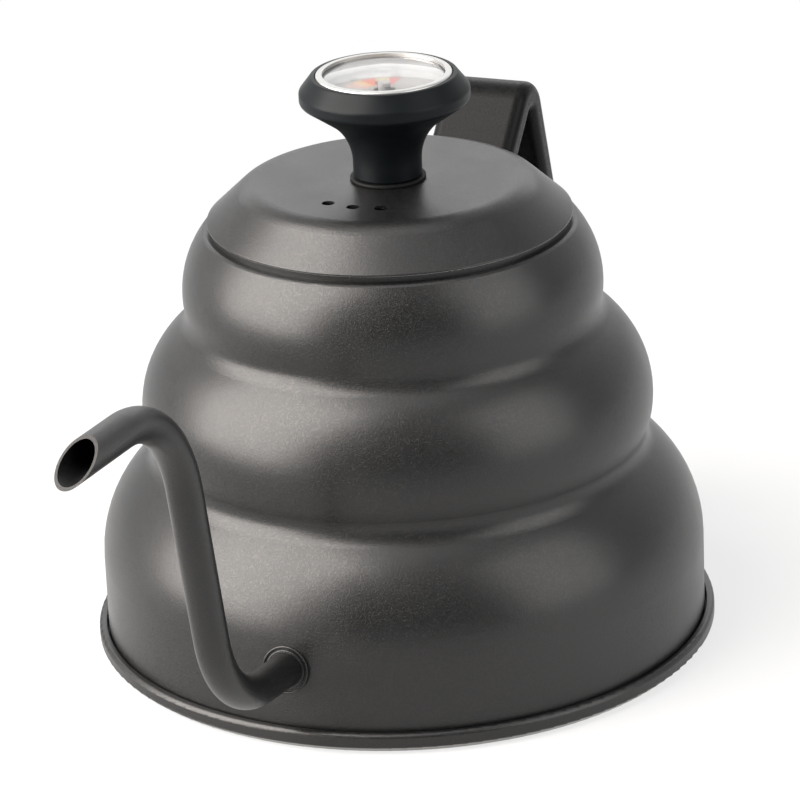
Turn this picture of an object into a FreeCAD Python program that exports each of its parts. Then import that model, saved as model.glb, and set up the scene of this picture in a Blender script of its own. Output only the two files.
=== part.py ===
import FreeCAD, Part
import math
import operator
import os
import types
import Sketcher

# A gooseneck pour-over kettle with a thermometer in the knob of its lid.
# The origin is on the body's axis, on the surface that the kettle stands on.
# +Z is up, +X points to the spout and -X to the handle.

# Driving dimensions, in millimetres and degrees.
# Radii and reaches are measured from the axis, heights from the surface it stands on.
SIZES = {
    # Base plate, pan and the bead that is rolled over the body's flange
    "plate_setback": 1.8,
    "plate_thickness": 1.2,
    "plate_edge_round": 0.3,
    "pan_sheet": 0.8,
    "bead_wall": 1.05,
    "bead_roll": 2.05,
    "bead_top_round": 1.0,
    "bead_bottom_round": 0.9,
    "bead_inner_round": 0.4,
    "seam_gap": 0.25,
    "flange_width": 1.15,
    # Body: three bulges with soft valleys between them, and the mouth
    "body_sheet": 0.6,
    "low_bulge_radius": 69.75,
    "low_bulge_height": 21.5,
    "low_bulge_round": 28.0,
    "middle_bulge_step": 11.0,
    "middle_bulge_rise": 35.25,
    "middle_bulge_round": 23.5,
    "top_bulge_step": 10.75,
    "top_bulge_rise": 27.25,
    "top_bulge_round": 23.0,
    "valley_round": 5.0,
    "mouth_rise": 15.0,
    "mouth_edge_round": 1.2,
    "neck_inset": 9.0,
    "neck_depth": 6.7,
    "neck_edge_round": 0.5,
    "lip_width": 1.4,
    # Spout: a bent tube in the plane y = 0
    "spout_radius": 3.85,
    "spout_wall": 0.55,
    "spout_root_drop": 3.1,
    "spout_root_slope": 8.0,
    "spout_insertion": 1.5,
    "spout_low_corner_run": 33.05,
    "spout_low_bend": 28.0,
    "spout_riser_slope": 77.5,
    "spout_high_corner_rise": 2.9,
    "spout_high_bend": 30.0,
    "spout_tip_slope": 3.5,
    "spout_mouth_run": 59.8,
    "spout_mouth_tilt": 57.6,
    "spout_trim": 16.0,
    "collar_inner_width": 0.65,
    "collar_groove_width": 0.4,
    "collar_outer_width": 0.5,
    "collar_proud": 0.95,
    "collar_groove_depth": 0.45,
    "collar_round": 0.2,
    "weld_gap": 0.05,
    # Handle: a hollow strap, pressed in two halves that meet in the plane y = 0
    "handle_width": 21.0,
    "handle_thickness": 7.0,
    "handle_wall": 0.8,
    "handle_edge_round": 2.6,
    "handle_root_depth": 6.0,
    "handle_arm_slope": 45.0,
    "handle_crest_overhang": 19.2,
    "handle_crest_rise": 13.8,
    "handle_crest_bend": 4.6,
    "handle_grip_lean": 18.0,
    "handle_heel_rise": 21.0,
    "handle_heel_bend": 10.5,
    "handle_foot_slope": 18.0,
    "handle_foot_depth": 11.75,
    "lug_length": 17.0,
    "lug_clearance": 0.4,
    # Lid
    "lid_overhang": 2.5,
    "lid_rim_edge": 0.5,
    "lid_rim_round": 0.2,
    "lid_sheet": 0.7,
    "lid_hem_width": 2.4,
    "lid_cone_slope": 42.7,
    "lid_cone_width": 9.1,
    "lid_crease_round": 7.0,
    "vent_count": 3,
    "vent_radius": 1.45,
    "vent_inset": 11.4,
    "vent_spacing": 17.5,
    "skirt_clearance": 0.4,
    "skirt_sheet": 0.6,
    "skirt_depth": 9.0,
    "skirt_flange_reach": 1.8,
    "skirt_flange_thickness": 1.5,
    # Knob and what clamps it to the lid
    "gasket_overhang": 0.8,
    "gasket_thickness": 0.8,
    "gasket_round": 0.3,
    "knob_stem_radius": 7.8,
    "knob_foot_round": 0.5,
    "knob_band_overhang": 2.8,
    "knob_flare_slope": 35.0,
    "knob_flare_round": 12.0,
    "knob_band_base": 17.8,
    "knob_band_height": 2.4,
    "knob_band_round": 1.2,
    "knob_height": 23.8,
    "knob_rim_width": 0.9,
    "knob_top_round": 0.5,
    "knob_recess_depth": 8.0,
    "stud_wall": 1.8,
    "stud_clearance": 0.1,
    "stud_head_overhang": 2.5,
    "stud_head_height": 1.0,
    "stud_tail": 1.0,
    "washer_width": 4.0,
    "washer_thickness": 1.0,
    "nut_wall": 2.5,
    "nut_height": 4.5,
    # Thermometer
    "case_radius": 14.8,
    "case_wall": 0.8,
    "case_floor": 0.6,
    "case_height": 4.9,
    "dial_ledge_height": 3.0,
    "dial_ledge_width": 0.9,
    "dial_thickness": 0.4,
    "dial_clearance": 0.1,
    "dial_hole_clearance": 1.0,
    "seal_width": 1.4,
    "seal_thickness": 0.5,
    "lens_edge": 1.2,
    "lens_land": 1.0,
    "lens_crown": 1.7,
    "lens_dome_share": 0.88,
    "lens_hollow": 1.4,
    "bezel_wall": 0.45,
    "bezel_clearance": 0.15,
    "bezel_lip": 1.05,
    "bezel_lip_thickness": 0.7,
    "bezel_skirt": 4.5,
    "bezel_edge_round": 0.5,
    "knob_recess_clearance": 0.2,
    "stem_radius": 2.0,
    "stem_wall": 0.4,
    "stem_tip_gap": 18.0,
    "stem_bore_clearance": 0.2,
    "plug_height": 1.5,
    "plug_clearance": 0.02,
    "bush_length": 10.0,
    "bush_flange_reach": 1.0,
    "bush_flange_thickness": 0.5,
    "shaft_radius": 0.5,
    "shaft_clearance": 0.05,
    "shaft_foot_gap": 1.5,
    "driver_clearance": 0.3,
    "driver_height": 1.0,
    "coil_clearance": 0.2,
    "coil_wire_radius": 0.25,
    "coil_pitch": 1.6,
    "coil_turns": 14,
    "coil_end_gap": 0.3,
    "hub_wall": 0.88,
    "hub_height": 3.6,
    "hub_clearance": 0.02,
    "needle_lift": 2.75,
    "needle_thickness": 0.3,
    "needle_margin": 3.1,
    "needle_tail": 3.6,
    "needle_root_width": 1.3,
    "needle_tip_width": 0.4,
    "needle_rest_angle": 45.0,
}


class Size:
    """A number together with the sheet formula that gives it."""

    def __init__(self, number, formula):
        self.number = number
        self.formula = formula

    def __add__(self, other):
        return joined(self, "+", other)

    def __radd__(self, other):
        return joined(other, "+", self)

    def __sub__(self, other):
        return joined(self, "-", other)

    def __rsub__(self, other):
        return joined(other, "-", self)

    def __mul__(self, other):
        return joined(self, "*", other)

    def __rmul__(self, other):
        return joined(other, "*", self)

    def __truediv__(self, other):
        return joined(self, "/", other)

    def __neg__(self):
        return joined(0, "-", self)


SIGNS = {"+": operator.add, "-": operator.sub, "*": operator.mul, "/": operator.truediv}


def as_size(value):
    if isinstance(value, Size):
        return value
    return Size(float(value), repr(float(value)))


def joined(left, sign, right):
    left = as_size(left)
    right = as_size(right)
    number = SIGNS[sign](left.number, right.number)
    return Size(number, f"({left.formula} {sign} {right.formula})")


def sine(angle):
    return Size(math.sin(math.radians(angle.number)), f"sin({angle.formula})")


def cosine(angle):
    return Size(math.cos(math.radians(angle.number)), f"cos({angle.formula})")


def tangent(angle):
    return Size(math.tan(math.radians(angle.number)), f"tan({angle.formula})")


doc = FreeCAD.newDocument("gooseneck_kettle")
sheet = doc.addObject("Spreadsheet::Sheet", "Sizes")
for row, (alias, number) in enumerate(SIZES.items(), start=1):
    sheet.set(f"A{row}", alias.replace("_", " "))
    sheet.set(f"B{row}", str(number))
    sheet.setAlias(f"B{row}", alias)
doc.recompute()
dim = types.SimpleNamespace(**{
    alias: Size(float(number), f"{sheet.Name}.{alias}") for alias, number in SIZES.items()
})

UPRIGHT = FreeCAD.Vector(0, 0, 1)
ABOUT_X = FreeCAD.Vector(1, 0, 0)
ABOUT_Y = FreeCAD.Vector(0, 1, 0)
ORIGIN_POINT = (-1, 1)
START, END, CENTRE = range(1, 4)
QUARTER_TURN = 90.0
HALF_TURN = 180.0
FULL_TURN = 360.0
ALL_ROUND = 2 * math.pi

# Cutting rods are this many times as long as the wall that they pass through.
OVERSHOOT = 2.0

# Edges closer than this to a height lie at that height.
EDGE_TOLERANCE = 1e-4

pieces = []


def add_piece(piece, label):
    """Keep a finished piece under the name that its file takes."""
    piece.Label = label
    pieces.append(piece)
    return piece


# Sketching

def new_body(name):
    return doc.addObject("PartDesign::Body", name)


def new_sketch(body, name, role):
    sketch = body.newObject("Sketcher::SketchObject", name)
    plane = next(f for f in body.Origin.OriginFeatures if f.Role == role)
    sketch.AttachmentSupport = (plane, [""])
    sketch.MapMode = "FlatFace"
    return sketch


def drive(feature, path, size):
    feature.setExpression(path, as_size(size).formula)


def constrain(sketch, kind, *where):
    return sketch.addConstraint(Sketcher.Constraint(kind, *where))


def constrain_to(sketch, kind, where, size):
    """Add a dimension that follows the sheet."""
    size = as_size(size)
    index = constrain(sketch, kind, *where, size.number)
    drive(sketch, f"Constraints[{index}]", size)


def fix_point(sketch, geometry, end, x, y):
    constrain_to(sketch, "DistanceX", (*ORIGIN_POINT, geometry, end), x)
    constrain_to(sketch, "DistanceY", (*ORIGIN_POINT, geometry, end), y)


def flat(x, y):
    return FreeCAD.Vector(x, y, 0)


def arc_between(centre, radius, start, end):
    """An arc that runs anticlockwise from one point to the other."""
    first = math.atan2(start.y - centre.y, start.x - centre.x)
    last = math.atan2(end.y - centre.y, end.x - centre.x)
    if last < first:
        last += ALL_ROUND
    return Part.ArcOfCircle(Part.Circle(centre, UPRIGHT, radius), first, last)


class Corner:
    """A corner of an outline, sharp or rounded, and where its sides begin and end."""

    def __init__(self, x, y, round_size=None):
        self.x = as_size(x)
        self.y = as_size(y)
        self.round = round_size
        self.point = flat(self.x.number, self.y.number)
        self.entry = self.point
        self.exit = self.point

    def lay_arc(self, before, after):
        """Work out the arc that rounds this corner between its two neighbours."""
        back = (before - self.point).normalize()
        ahead = (after - self.point).normalize()
        half = back.getAngle(ahead) / 2
        reach = self.round.number / math.tan(half)
        self.entry = self.point + back * reach
        self.exit = self.point + ahead * reach
        bisector = (back + ahead).normalize()
        self.centre = self.point + bisector * (self.round.number / math.sin(half))
        self.turns_left = back.cross(ahead).z < 0

    def arc(self):
        if self.turns_left:
            return arc_between(self.centre, self.round.number, self.entry, self.exit)
        return arc_between(self.centre, self.round.number, self.exit, self.entry)


def draw_outline(sketch, points, closed=True):
    """Draw straight sides through points (x, y) or, for a rounded corner, (x, y, radius)."""
    corners = [Corner(*point) for point in points]
    count = len(corners)
    for index, corner in enumerate(corners):
        if corner.round is not None:
            corner.lay_arc(corners[index - 1].point, corners[(index + 1) % count].point)
    sides = []
    arcs = []
    for index, corner in enumerate(corners):
        arcs.append(sketch.addGeometry(corner.arc(), False) if corner.round is not None else None)
        if closed or index < count - 1:
            following = corners[(index + 1) % count]
            sides.append(sketch.addGeometry(Part.LineSegment(corner.exit, following.entry), False))
    for index, corner in enumerate(corners):
        if not closed and index == 0:
            fix_point(sketch, sides[0], START, corner.x, corner.y)
        elif not closed and index == count - 1:
            fix_point(sketch, sides[-1], END, corner.x, corner.y)
        elif corner.round is None:
            constrain(sketch, "Coincident", sides[index - 1], END, sides[index], START)
            fix_point(sketch, sides[index], START, corner.x, corner.y)
        else:
            tip = sketch.addGeometry(Part.Point(corner.point), True)
            fix_point(sketch, tip, START, corner.x, corner.y)
            constrain(sketch, "PointOnObject", tip, START, sides[index - 1])
            constrain(sketch, "PointOnObject", tip, START, sides[index])
            entry_end, exit_end = (START, END) if corner.turns_left else (END, START)
            constrain(sketch, "Tangent", sides[index - 1], END, arcs[index], entry_end)
            constrain(sketch, "Tangent", arcs[index], exit_end, sides[index], START)
            constrain_to(sketch, "Radius", (arcs[index],), corner.round)


def draw_circle(sketch, radius):
    circle = sketch.addGeometry(Part.Circle(flat(0, 0), UPRIGHT, radius.number), False)
    constrain(sketch, "Coincident", circle, CENTRE, *ORIGIN_POINT)
    constrain_to(sketch, "Radius", (circle,), radius)


# Solids

def spin(body, sketch):
    turning = body.newObject("PartDesign::Revolution", f"{body.Name}_turned")
    turning.Profile = sketch
    turning.ReferenceAxis = (sketch, ["V_Axis"])
    turning.Angle = FULL_TURN
    return turning


def turned(name, points):
    """A round piece: an outline of (radius, height) points turned about the axis."""
    body = new_body(name)
    sketch = new_sketch(body, f"{name}_outline", "XZ_Plane")
    draw_outline(sketch, points)
    spin(body, sketch)
    return body


def ring(name, inner, outer, low, height):
    return turned(name, [(inner, low), (outer, low), (outer, low + height), (inner, low + height)])


def cylinder(name, radius, height):
    rod = doc.addObject("Part::Cylinder", name)
    drive(rod, "Radius", radius)
    drive(rod, "Height", height)
    return rod


def drill(name, radius, low, height, x=0, y=0):
    """A cutting rod that passes through a wall of this height and stands proud at both ends."""
    rod = cylinder(name, radius, OVERSHOOT * height)
    place(rod, x=x, y=y, z=low - (OVERSHOOT - 1) / 2 * height)
    return rod


def place(feature, x=0, y=0, z=0):
    drive(feature, "Placement.Base.x", x)
    drive(feature, "Placement.Base.y", y)
    drive(feature, "Placement.Base.z", z)


def turn(feature, axis, angle):
    feature.Placement = FreeCAD.Placement(FreeCAD.Vector(), FreeCAD.Rotation(axis, 1))
    drive(feature, "Placement.Rotation.Angle", angle)


def cut(name, base, tool):
    result = doc.addObject("Part::Cut", name)
    result.Base = base
    result.Tool = tool
    return result


def fused(name, shapes):
    result = doc.addObject("Part::MultiFuse", name)
    result.Shapes = shapes
    result.Refine = True
    return result


def pipe(name, path_points, slope, draw_section):
    """A section swept along a path in the plane y = 0 that sets out at the given slope."""
    body = new_body(name)
    path = new_sketch(body, f"{name}_path", "XZ_Plane")
    draw_outline(path, path_points, closed=False)
    section = new_sketch(body, f"{name}_section", "YZ_Plane")
    draw_section(section)
    section.AttachmentOffset = FreeCAD.Placement(FreeCAD.Vector(), FreeCAD.Rotation(ABOUT_X, 1))
    start_x, start_z = path_points[0]
    drive(section, "AttachmentOffset.Base.y", start_z)
    drive(section, "AttachmentOffset.Base.z", start_x)
    drive(section, "AttachmentOffset.Rotation.Angle", -slope)
    doc.recompute()
    sweep = body.newObject("PartDesign::AdditivePipe", f"{name}_swept")
    sweep.Profile = section
    sweep.Spine = (path, [f"Edge{number}" for number in range(1, len(path.Shape.Edges) + 1)])
    return body


# Radii that several pieces share

flange_rim = dim.low_bulge_radius + dim.flange_width
bead_rim = flange_rim + dim.weld_gap + dim.bead_wall
middle_bulge_radius = dim.low_bulge_radius - dim.middle_bulge_step
top_bulge_radius = middle_bulge_radius - dim.top_bulge_step
neck_radius = top_bulge_radius - dim.neck_inset
spout_hole_radius = dim.spout_radius + dim.weld_gap
lid_rim = neck_radius + dim.lid_overhang
lid_crease = lid_rim - dim.lid_cone_width
stem_bore = dim.stem_radius - dim.stem_wall
stud_bore = dim.stem_radius + dim.stem_bore_clearance
stud_radius = stud_bore + dim.stud_wall
stud_hole_radius = stud_radius + dim.stud_clearance
bezel_inside = dim.case_radius + dim.bezel_clearance
bezel_outside = bezel_inside + dim.bezel_wall
case_inside = dim.case_radius - dim.case_wall
dial_rim = case_inside - dim.dial_clearance
hub_bore = dim.shaft_radius + dim.hub_clearance
hub_radius = hub_bore + dim.hub_wall

# Heights that several pieces share

floor_underside = dim.plate_thickness
floor_top = floor_underside + dim.pan_sheet
middle_bulge_height = dim.low_bulge_height + dim.middle_bulge_rise
top_bulge_height = middle_bulge_height + dim.top_bulge_rise
mouth_height = top_bulge_height + dim.mouth_rise
neck_foot = mouth_height - dim.neck_depth
lid_seat = mouth_height + dim.skirt_flange_thickness
lid_rim_top = lid_seat + dim.lid_rim_edge
lid_top = lid_rim_top + dim.lid_cone_width * tangent(dim.lid_cone_slope)
knob_foot = lid_top + dim.gasket_thickness
knob_top = knob_foot + dim.knob_height
recess_floor = knob_top - dim.knob_recess_depth
case_base = recess_floor + dim.stud_head_height
case_floor_top = case_base + dim.case_floor
case_top = case_base + dim.case_height
lens_base = case_top + dim.seal_thickness
lens_land_height = lens_base + dim.lens_edge
bush_top = case_floor_top + dim.bush_flange_thickness
stem_tip = floor_top + dim.stem_tip_gap
plug_top = stem_tip + dim.plug_height
hub_base = bush_top + dim.shaft_clearance
hub_top = hub_base + dim.hub_height


# Base

def base_plate():
    rim = bead_rim - dim.plate_setback
    plate = turned("base_plate", [
        (0, 0),
        (rim, 0, dim.plate_edge_round),
        (rim, dim.plate_thickness),
        (0, dim.plate_thickness),
    ])
    add_piece(plate, "base_plate")


def bottom_pan():
    """The floor, with its edge rolled up, over and down on the body's flange."""
    roll_inside = flange_rim + dim.weld_gap
    roll_underside = floor_top + dim.body_sheet + dim.weld_gap
    bead_inside = dim.low_bulge_radius + dim.seam_gap
    bead_top = roll_underside + dim.bead_roll
    pan = turned("bottom_pan", [
        (0, floor_underside),
        (bead_rim, floor_underside, dim.bead_bottom_round),
        (bead_rim, bead_top, dim.bead_top_round),
        (bead_inside, bead_top, dim.bead_inner_round),
        (bead_inside, roll_underside),
        (roll_inside, roll_underside),
        (roll_inside, floor_top),
        (0, floor_top),
    ])
    add_piece(pan, "bottom_pan")


# Body

class Bulge:
    """One bulge of the body: an arc about a centre inside the wall."""

    def __init__(self, radius, height, round_size):
        self.x = radius - round_size
        self.y = height
        self.round = round_size
        self.centre = flat(self.x.number, self.y.number)


BULGES = (
    Bulge(dim.low_bulge_radius, dim.low_bulge_height, dim.low_bulge_round),
    Bulge(middle_bulge_radius, middle_bulge_height, dim.middle_bulge_round),
    Bulge(top_bulge_radius, top_bulge_height, dim.top_bulge_round),
)


def valley_centre(lower, upper):
    """Centre of the hollow arc that touches two bulges from outside."""
    near = lower.round.number + dim.valley_round.number
    far = upper.round.number + dim.valley_round.number
    across = upper.centre - lower.centre
    gap = across.Length
    along = (gap ** 2 + near ** 2 - far ** 2) / (2 * gap)
    aside = math.sqrt(near ** 2 - along ** 2)
    unit = across.normalize()
    outward = flat(unit.y, -unit.x)
    return lower.centre + unit * along + outward * aside


def bulged_solid(name, grow):
    """The body's outside shape as a solid, grown by a thickness."""
    body = new_body(name)
    sketch = new_sketch(body, f"{name}_outline", "XZ_Plane")
    grow = as_size(grow)
    low, middle, top = BULGES
    valley_round = dim.valley_round - grow
    hollows = [valley_centre(low, middle), valley_centre(middle, top)]
    top_height = mouth_height + grow
    crown_round = top.round + grow
    crown_rise = top_height.number - top.centre.y
    crown_reach = top.centre.x + math.sqrt(crown_round.number ** 2 - crown_rise ** 2)

    def touch(bulge, hollow):
        return bulge.centre + (hollow - bulge.centre).normalize() * (bulge.round + grow).number

    wall_reach = low.centre.x + (low.round + grow).number
    corners = {
        "wall_foot": flat(wall_reach, floor_top.number),
        "wall_head": flat(wall_reach, low.centre.y),
        "axis_foot": flat(0, floor_top.number),
        "axis_head": flat(0, top_height.number),
        "crown": flat(crown_reach, top_height.number),
    }
    low_touches = [touch(low, hollows[0]), touch(middle, hollows[0])]
    high_touches = [touch(middle, hollows[1]), touch(top, hollows[1])]
    shapes = [
        Part.LineSegment(corners["axis_foot"], corners["wall_foot"]),
        Part.LineSegment(corners["wall_foot"], corners["wall_head"]),
        arc_between(low.centre, (low.round + grow).number, corners["wall_head"], low_touches[0]),
        arc_between(hollows[0], valley_round.number, low_touches[1], low_touches[0]),
        arc_between(middle.centre, (middle.round + grow).number, low_touches[1], high_touches[0]),
        arc_between(hollows[1], valley_round.number, high_touches[1], high_touches[0]),
        arc_between(top.centre, crown_round.number, high_touches[1], corners["crown"]),
        Part.LineSegment(corners["crown"], corners["axis_head"]),
        Part.LineSegment(corners["axis_head"], corners["axis_foot"]),
    ]
    floor, wall, low_arc, low_hollow, middle_arc, high_hollow, top_arc, lid_line, axis = [
        sketch.addGeometry(shape, False) for shape in shapes
    ]
    constrain(sketch, "Horizontal", floor)
    constrain(sketch, "Vertical", wall)
    constrain(sketch, "Horizontal", lid_line)
    constrain_to(sketch, "DistanceX", (*ORIGIN_POINT, axis, START), 0)
    constrain_to(sketch, "DistanceX", (*ORIGIN_POINT, axis, END), 0)
    constrain(sketch, "Coincident", axis, END, floor, START)
    constrain(sketch, "Coincident", floor, END, wall, START)
    constrain(sketch, "Tangent", wall, END, low_arc, START)
    constrain(sketch, "Tangent", low_arc, END, low_hollow, END)
    constrain(sketch, "Tangent", low_hollow, START, middle_arc, START)
    constrain(sketch, "Tangent", middle_arc, END, high_hollow, END)
    constrain(sketch, "Tangent", high_hollow, START, top_arc, START)
    constrain(sketch, "Coincident", top_arc, END, lid_line, START)
    constrain(sketch, "Coincident", lid_line, END, axis, START)
    constrain_to(sketch, "DistanceY", (*ORIGIN_POINT, floor, START), floor_top)
    constrain_to(sketch, "DistanceY", (*ORIGIN_POINT, lid_line, END), top_height)
    for arc, bulge in ((low_arc, low), (middle_arc, middle), (top_arc, top)):
        fix_point(sketch, arc, CENTRE, bulge.x, bulge.y)
        constrain_to(sketch, "Radius", (arc,), bulge.round + grow)
    for arc in (low_hollow, high_hollow):
        constrain_to(sketch, "Radius", (arc,), valley_round)
    spin(body, sketch)
    return body


def round_mouth_edge(body):
    """Round the edge where the shoulder meets the flat rim of the mouth."""
    doc.recompute()
    turning = body.Tip
    rim_edges = [
        f"Edge{number}" for number, edge in enumerate(turning.Shape.Edges, start=1)
        if abs(edge.BoundBox.ZMin - mouth_height.number) < EDGE_TOLERANCE
        and abs(edge.BoundBox.ZMax - mouth_height.number) < EDGE_TOLERANCE
        and edge.BoundBox.XMax > neck_radius.number
    ]
    rounding = body.newObject("PartDesign::Fillet", f"{body.Name}_rounded")
    rounding.Base = (turning, rim_edges)
    drive(rounding, "Radius", dim.mouth_edge_round)


def spout_start():
    """Where the spout's line begins, just inside the wall."""
    inside = dim.body_sheet + dim.spout_insertion
    reach = dim.low_bulge_radius - inside
    height = dim.low_bulge_height - dim.spout_root_drop - inside * tangent(dim.spout_root_slope)
    return reach, height


def body_shell():
    outside = bulged_solid("body_outside", 0)
    round_mouth_edge(outside)
    inside = bulged_solid("body_inside", -dim.body_sheet)
    mouth_hole = drill("mouth_hole", neck_radius + dim.lip_width, neck_foot, dim.neck_depth)
    wall = cut("body_wall", cut("body_hollow", outside, inside), mouth_hole)
    flange = ring("body_flange", dim.low_bulge_radius - dim.body_sheet, flange_rim,
                  floor_top, dim.body_sheet)
    spout_hole = cylinder("spout_hole", spout_hole_radius, OVERSHOOT * dim.spout_low_bend)
    turn(spout_hole, ABOUT_Y, QUARTER_TURN - dim.spout_root_slope)
    reach, height = spout_start()
    place(spout_hole, x=reach, z=height)
    joined_body = fused("body_joined", [wall, flange])
    add_piece(cut("body_shell", joined_body, spout_hole), "body_shell")


def mouth_ring():
    """The turned-down ring welded into the mouth, which the lid's skirt drops into."""
    rim = neck_radius + dim.lip_width - dim.weld_gap
    lip_underside = mouth_height - dim.body_sheet
    neck = turned("mouth_ring", [
        (neck_radius, neck_foot),
        (neck_radius + dim.body_sheet, neck_foot),
        (neck_radius + dim.body_sheet, lip_underside),
        (rim, lip_underside),
        (rim, mouth_height),
        (neck_radius, mouth_height, dim.neck_edge_round),
    ])
    add_piece(neck, "mouth_ring")


# Spout

def spout_path():
    """The middle line of the tube, from inside the wall to past the mouth."""
    reach, height = spout_start()
    low_reach = dim.low_bulge_radius + dim.spout_low_corner_run
    low_height = height + (low_reach - reach) * tangent(dim.spout_root_slope)
    high_height = mouth_height + dim.spout_high_corner_rise
    high_reach = low_reach + (high_height - low_height) / tangent(dim.spout_riser_slope)
    end_reach = low_reach + dim.spout_mouth_run + dim.spout_trim
    end_height = high_height + (end_reach - high_reach) * tangent(dim.spout_tip_slope)
    return [
        (reach, height),
        (low_reach, low_height, dim.spout_low_bend),
        (high_reach, high_height, dim.spout_high_bend),
        (end_reach, end_height),
    ]


def spout_tube():
    """The bent tube, with its mouth cut on a slant so that the lower lip leads."""
    path = spout_path()
    outside = pipe("spout_outside", path, dim.spout_root_slope,
                   lambda sketch: draw_circle(sketch, dim.spout_radius))
    bore = pipe("spout_bore", path, dim.spout_root_slope,
                lambda sketch: draw_circle(sketch, dim.spout_radius - dim.spout_wall))
    end_reach, end_height = path[-1]
    lip_reach = end_reach - dim.spout_trim
    lip_height = end_height - dim.spout_trim * tangent(dim.spout_tip_slope)
    block = doc.addObject("Part::Box", "mouth_block")
    block_side = OVERSHOOT * (dim.spout_trim + 2 * dim.spout_radius)
    for side in ("Length", "Width", "Height"):
        drive(block, side, block_side)
    # The block's near face leans back from the tip and has its middle at the centre of the mouth.
    slant = -(dim.spout_mouth_tilt + dim.spout_tip_slope)
    turn(block, ABOUT_Y, slant)
    half = block_side / 2
    place(block,
          x=lip_reach - half * sine(slant),
          y=-half,
          z=lip_height - half * cosine(slant))
    add_piece(cut("spout_tube", cut("spout_hollow", outside, bore), block), "spout_tube")


def spout_collar(wall_shape):
    """The grooved ring round the tube where it enters the wall."""
    reach, height = spout_start()
    depth = (dim.body_sheet + dim.spout_insertion) / cosine(dim.spout_root_slope)
    inner_rim = spout_hole_radius + dim.collar_inner_width
    groove_rim = inner_rim + dim.collar_groove_width
    outer_rim = groove_rim + dim.collar_outer_width
    top = depth + dim.collar_proud
    groove_floor = top - dim.collar_groove_depth
    blank = turned("collar_blank", [
        (spout_hole_radius, 0),
        (outer_rim, 0),
        (outer_rim, top, dim.collar_round),
        (groove_rim, top, dim.collar_round),
        (groove_rim, groove_floor),
        (inner_rim, groove_floor),
        (inner_rim, top, dim.collar_round),
        (spout_hole_radius, top),
    ])
    turn(blank, ABOUT_Y, QUARTER_TURN - dim.spout_root_slope)
    place(blank, x=reach, z=height)
    add_piece(cut("spout_collar", blank, wall_shape), "spout_collar")


# Handle

def handle_path():
    """The middle line of the strap, from inside the top bulge to inside the low one."""
    root_reach = top_bulge_radius - dim.handle_root_depth
    crest_reach = top_bulge_radius + dim.handle_crest_overhang
    crest_height = mouth_height + dim.handle_crest_rise
    root_height = crest_height - (crest_reach - root_reach) * tangent(dim.handle_arm_slope)
    heel_height = dim.low_bulge_height + dim.handle_heel_rise
    heel_reach = crest_reach + (crest_height - heel_height) * tangent(dim.handle_grip_lean)
    foot_reach = dim.low_bulge_radius - dim.handle_foot_depth
    foot_height = heel_height - (heel_reach - foot_reach) * tangent(dim.handle_foot_slope)
    return [
        (-root_reach, root_height),
        (-crest_reach, crest_height, dim.handle_crest_bend),
        (-heel_reach, heel_height, dim.handle_heel_bend),
        (-foot_reach, foot_height),
    ]


def handle_half(name, side, wall_shape):
    """One pressed half of the strap: a channel whose open side lies in the plane y = 0."""
    half_width = side * dim.handle_width / 2
    half_depth = dim.handle_thickness / 2
    inner_width = half_width - side * dim.handle_wall
    inner_depth = half_depth - dim.handle_wall
    inner_round = dim.handle_edge_round - dim.handle_wall
    channel = [
        (0, half_depth),
        (half_width, half_depth, dim.handle_edge_round),
        (half_width, -half_depth, dim.handle_edge_round),
        (0, -half_depth),
        (0, -inner_depth),
        (inner_width, -inner_depth, inner_round),
        (inner_width, inner_depth, inner_round),
        (0, inner_depth),
    ]
    strap = pipe(f"{name}_strap", handle_path(), HALF_TURN - dim.handle_arm_slope,
                 lambda sketch: draw_outline(sketch, channel))
    add_piece(cut(name, strap, wall_shape), name)


def handle_lug(name, start, slope, wall_shape):
    """A block on the body that fills the end of the hollow handle."""
    clearance = dim.handle_wall + dim.lug_clearance
    width = dim.handle_width - 2 * clearance - 2 * dim.handle_edge_round
    thickness = dim.handle_thickness - 2 * clearance
    block = doc.addObject("Part::Box", f"{name}_block")
    drive(block, "Length", dim.lug_length)
    drive(block, "Width", width)
    drive(block, "Height", thickness)
    swing = slope - HALF_TURN
    turn(block, ABOUT_Y, swing)
    place(block,
          x=start[0] - thickness / 2 * sine(swing),
          y=-width / 2,
          z=start[1] - thickness / 2 * cosine(swing))
    add_piece(cut(name, block, wall_shape), name)


def handle(wall_shape):
    path = handle_path()
    handle_half("handle_left_half", 1, wall_shape)
    handle_half("handle_right_half", -1, wall_shape)
    handle_lug("handle_upper_lug", path[0], dim.handle_arm_slope, wall_shape)
    handle_lug("handle_lower_lug", path[-1], dim.handle_foot_slope, wall_shape)


# Lid

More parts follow.
